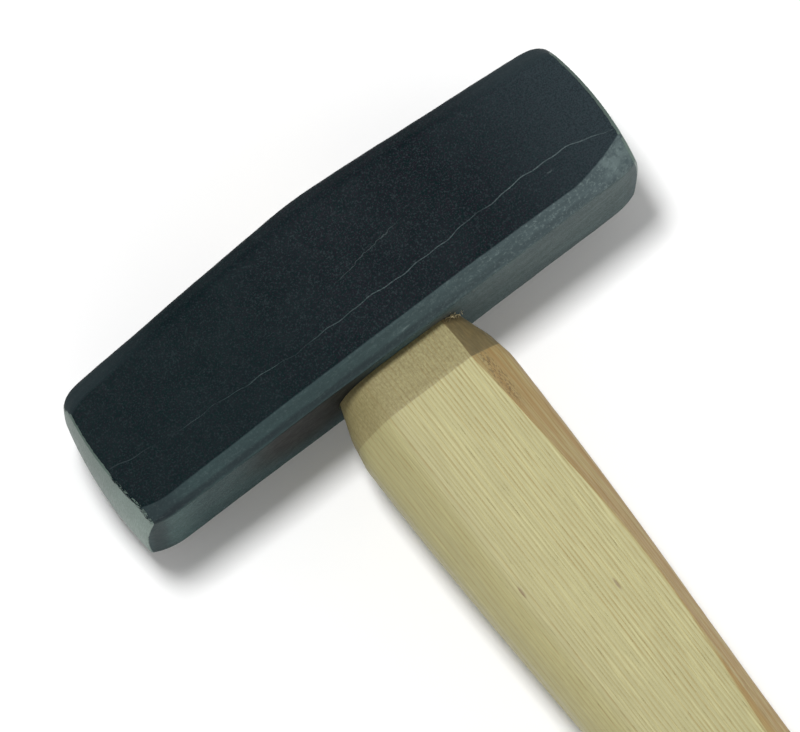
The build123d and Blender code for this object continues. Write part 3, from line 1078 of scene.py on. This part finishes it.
def wedge_steel():
    """Blued wedges whose tops carry hammer marks."""
    s = Shader("wedge_steel")
    dents = s.spots(2.2)
    cloud = s.noise(1.5, detail=4.0, roughness=0.65)
    steel = s.mix(s.fit(cloud, 0.35, 0.7), (0.20, 0.20, 0.21), (0.42, 0.42, 0.42))
    rust = s.fit(s.noise(0.8, detail=4.0, roughness=0.7, shift=5.0), 0.58, 0.7)
    steel = s.mix(s.times(rust, 0.35), steel, (0.16, 0.08, 0.04))
    s.set("Base Color", steel)
    s.surface.inputs["Metallic"].default_value = 0.9
    s.set("Roughness", s.fit(cloud, 0.3, 0.7, 0.32, 0.55))
    s.set("Normal", s.bump(s.fit(dents, 0.0, 0.6), 0.12))
    return s.material


def pale_floor():
    s = Shader("pale_floor")
    s.surface.inputs["Base Color"].default_value = (*FLOOR_COLOUR, 1.0)
    s.surface.inputs["Roughness"].default_value = 0.8
    return s.material


def dress(piece, material):
    piece.data.materials.clear()
    piece.data.materials.append(material)


# ---- torn fibres
def sliver(k, rng):
    """One curled sliver as rings of four corners, from its root to its tip."""
    share = k / (FIBRES - 1)
    root = np.array(FIBRE_SPOT) + [4.4 * share - 0.6, 0.25 * rng.normal(), -3.6 * share**1.6]
    length = rng.uniform(0.8, 2.2)
    lean = rng.uniform(-0.9, 0.9)
    curl = rng.uniform(0.5, 1.5)
    width = rng.uniform(0.10, 0.24)
    corners = []
    for t in np.linspace(0, 1, FIBRE_RINGS):
        angle = 2.0 * curl * t
        x = root[0] + lean * length * t + 0.25 * math.sin(2 * angle + k)
        y = root[1] + 0.33 * length * math.sin(angle)
        z = root[2] + MIDDLE + 0.15 * (1 + t) + 0.55 * length * (1 - math.cos(angle))
        half = width * (1 - 0.85 * t)
        for across, lift in ((-half, 0.0), (0.0, 0.07), (half, 0.0), (0.0, -0.05)):
            corners.append((x + 0.6 * across, y + 0.8 * across, z + lift))
    return corners


def build_fibres():
    """A few curled slivers of ash that the edge of the eye tore up at the front right of the neck."""
    rng = np.random.default_rng(7)
    verts, faces = [], []
    for k in range(FIBRES):
        first = len(verts)
        verts += sliver(k, rng)
        for a in range(first, len(verts) - 4, 4):
            for j in range(4):
                faces.append((a + j, a + (j + 1) % 4, a + 4 + (j + 1) % 4, a + 4 + j))
        faces.append(tuple(first + j for j in (3, 2, 1, 0)))
        faces.append(tuple(range(len(verts) - 4, len(verts))))
    mesh = bpy.data.meshes.new("torn_fibres")
    mesh.from_pydata([tuple(c * MM for c in v) for v in verts], [], faces)
    return finish_mesh("torn_fibres", mesh)


# ---- stage
CAMERA_AT = (-0.2390, -0.3810, 2.2452)
CAMERA_LOOKS_AT = (-0.0005, -0.0163, 0.020)
CAMERA_UP = (math.cos(math.radians(52.60)), math.sin(math.radians(52.60)), 0.0)
CAMERA_LENS = 535.7
SENSOR_WIDTH = 36.0
FLOOR_HALF = 6.0
STAGE_CENTRE = (0.0, -0.02, 0.02)
KEY_AT = (-0.05, 0.24, 1.26)
KEY_SIZE = (0.22, 0.22)
KEY_POWER = 13.2
SIDE_AT = (1.0, -0.8, 0.35)
SIDE_SIZE = (0.8, 0.3)
SIDE_POWER = 2.2
SIDE_COLOUR = (0.97, 1.0, 1.0)
STUDIO_BAND = ((0.0, 0.9), (0.12, 1.0), (0.5, 1.0), (0.75, 0.2), (1.0, 0.08))  # height up the dome, level
STUDIO_FRONT = 1.25
STUDIO_BACK = 0.55


def aim(thing, target, up=(0.0, 0.0, 1.0)):
    """Turns a camera or a light at a point, with up towards the top of its view."""
    back = (thing.location - Vector(target)).normalized()
    right = Vector(up).cross(back).normalized()
    top = back.cross(right)
    turned = Matrix((right, top, back)).transposed()
    thing.rotation_mode = "QUATERNION"
    thing.rotation_quaternion = turned.to_quaternion()


def make_camera():
    data = bpy.data.cameras.new("camera")
    data.lens = CAMERA_LENS
    data.sensor_width = SENSOR_WIDTH
    data.clip_start = 0.01
    camera = add("camera", data)
    camera.location = CAMERA_AT
    aim(camera, CAMERA_LOOKS_AT, CAMERA_UP)
    bpy.context.scene.camera = camera


def area_light(name, at, size, power, colour=(1.0, 1.0, 1.0)):
    data = bpy.data.lights.new(name, "AREA")
    data.shape = "RECTANGLE"
    data.size, data.size_y = size
    data.energy = power
    data.color = colour
    light = add(name, data)
    light.location = at
    aim(light, STAGE_CENTRE)


def make_world():
    """A soft studio: a bright band round the walls, brightest on the handle's side, and a dim ceiling."""
    world = bpy.data.worlds.new("studio")
    bpy.context.scene.world = world
    world.use_nodes = True
    tree = world.node_tree
    tree.nodes.clear()
    kinds = ("TexCoord", "SeparateXYZ", "ValToRGB", "MapRange", "Background", "OutputWorld")
    place, split, ramp, side, glow, output = [tree.nodes.new("ShaderNode" + kind) for kind in kinds]
    tree.links.new(place.outputs["Generated"], split.inputs[0])
    tree.links.new(split.outputs[2], ramp.inputs[0])
    tree.links.new(split.outputs[1], side.inputs["Value"])
    tree.links.new(ramp.outputs[0], glow.inputs[0])
    tree.links.new(side.outputs[0], glow.inputs[1])
    tree.links.new(glow.outputs[0], output.inputs[0])
    for socket, value in zip(side.inputs[1:5], (-0.8, 0.8, STUDIO_FRONT, STUDIO_BACK)):
        socket.default_value = value
    marks = ramp.color_ramp.elements
    for position, level in STUDIO_BAND[1:-1]:
        marks.new(position).color = (level, level, level, 1.0)
    for mark, (position, level) in zip((marks[0], marks[-1]), (STUDIO_BAND[0], STUDIO_BAND[-1])):
        mark.position = position
        mark.color = (level, level, level, 1.0)


def make_stage():
    mesh = bpy.data.meshes.new("floor")
    corners = [(x * FLOOR_HALF, y * FLOOR_HALF, 0) for x, y in ((-1, -1), (1, -1), (1, 1), (-1, 1))]
    mesh.from_pydata(corners, [], [(0, 1, 2, 3)])
    floor = add("floor", mesh)
    dress(floor, pale_floor())
    area_light("key", KEY_AT, KEY_SIZE, KEY_POWER)
    area_light("handle_side", SIDE_AT, SIDE_SIZE, SIDE_POWER, SIDE_COLOUR)


# ---- putting it together
make_camera()
make_world()
make_stage()
bpy.context.scene.view_settings.view_transform = "Standard"

head = build_head()
sharpen(head, 40)
dress(head, forged_steel())
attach(head, "root")
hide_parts("hammer_head")

handle = build_handle()
sharpen(handle, 35)
wood = handle_wood()
dress(handle, wood)
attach(handle, "root")
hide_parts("handle")

fibres = build_fibres()
dress(fibres, torn_wood())
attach(fibres, "root")

dress(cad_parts["wood_wedge"], wedge_wood())
steel = wedge_steel()
for number in (1, 2):
    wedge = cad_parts[f"steel_wedge_{number}"]
    dress(wedge, steel)
    soften(wedge, 0.3)
